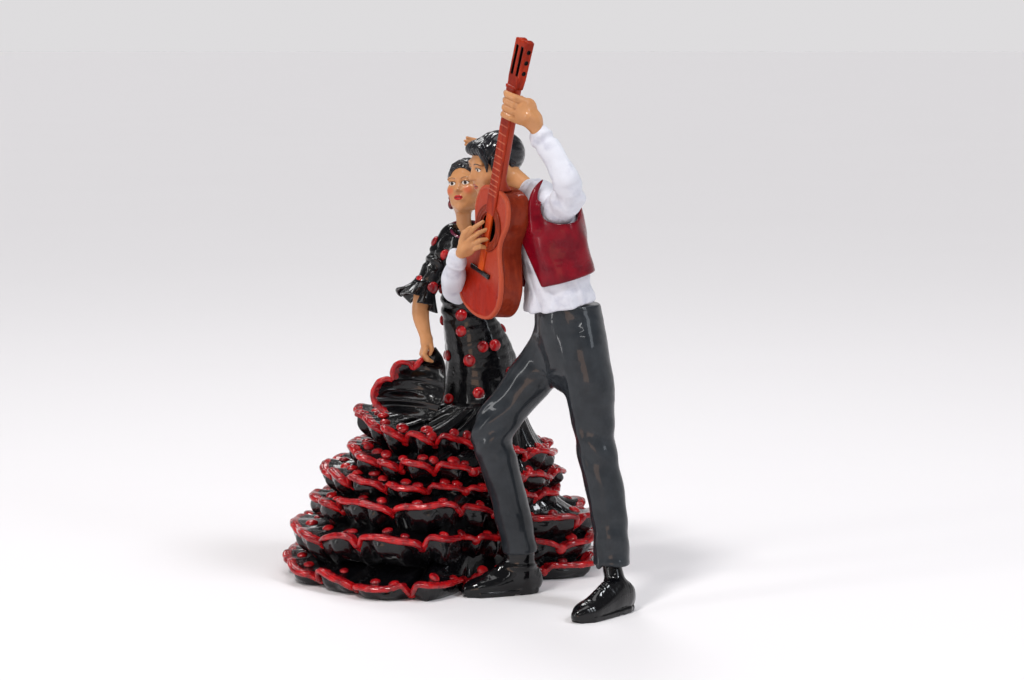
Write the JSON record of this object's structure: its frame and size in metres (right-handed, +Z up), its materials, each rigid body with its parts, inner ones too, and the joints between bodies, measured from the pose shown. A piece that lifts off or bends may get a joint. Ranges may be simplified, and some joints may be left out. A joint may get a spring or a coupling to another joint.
{
  "type": "souvenir figurine",
  "caption": "Painted cast figurine of a flamenco couple: a dancer in a long flounced gown and a guitarist in vest and trousers standing beside her.",
  "frame": {"origin": "centre of the gown's flat underside, on the surface the figurine stands on", "axes": "+Z up through the dancer, -Y the side the couple shows, +X towards the guitarist's side"},
  "size_m": [0.1963, 0.21, 0.2986],
  "materials": {
    "gown_black": "glossy black lacquer over cast resin",
    "hair_black": "glossy black paint",
    "shoe_black": "glossy black paint",
    "trim_red": "glossy red paint",
    "skin_paint": "satin flesh paint with warm shading",
    "shirt_white": "satin off-white paint",
    "vest_crimson": "glossy crimson paint",
    "trouser_grey": "glossy slate grey paint",
    "guitar_red": "glossy red-brown paint",
    "guitar_dark": "glossy dark red-brown paint",
    "bridge_black": "black paint",
    "string_orange": "orange-brown paint",
    "pin_steel": "plain steel wire and rod"
  },
  "bodies": {
    "root": {"gown_skirt": "gown_black", "flounce_1": "gown_black", "flounce_2": "gown_black", "flounce_3": "gown_black", "flounce_4": "gown_black", "flounce_5": "gown_black", "flounce_6": "gown_black", "gown_bodice": "gown_black", "gown_lifted_fold": "gown_black", "dancer_sleeve_right": "gown_black", "dancer_frill_right": "gown_black", "dancer_forearm_right": "skin_paint", "dancer_sleeve_left": "gown_black", "dancer_frill_left": "gown_black", "dancer_forearm_left": "skin_paint", "dancer_head": "skin_paint", "dancer_hair": "hair_black", "dancer_earring_right": "trim_red", "dancer_earring_left": "trim_red", "man_hips": "trouser_grey", "man_leg_left": "trouser_grey", "man_leg_right": "trouser_grey", "man_shoe_left": "shoe_black", "man_shoe_right": "shoe_black", "man_shirt": "shirt_white", "man_vest": "vest_crimson", "man_sleeve_left": "shirt_white", "man_hand_left": "skin_paint", "man_sleeve_right": "shirt_white", "man_hand_right": "skin_paint", "man_head": "skin_paint", "man_hair": "hair_black", "man_collar": "shirt_white", "guitar_ribs": "guitar_dark", "guitar_soundboard": "guitar_red", "guitar_rosette": "guitar_dark", "guitar_strings": "string_orange", "guitar_bridge": "bridge_black", "guitar_neck": "guitar_red", "guitar_fingerboard": "string_orange", "guitar_headstock": "guitar_red", "skirt_dowel": "pin_steel", "shoe_dowel": "pin_steel", "dancer_neck_pin": "pin_steel", "man_neck_pin": "pin_steel", "leg_wire_left": "pin_steel", "leg_wire_right": "pin_steel", "guitar_peg": "pin_steel"}
  },
  "joints": []
}
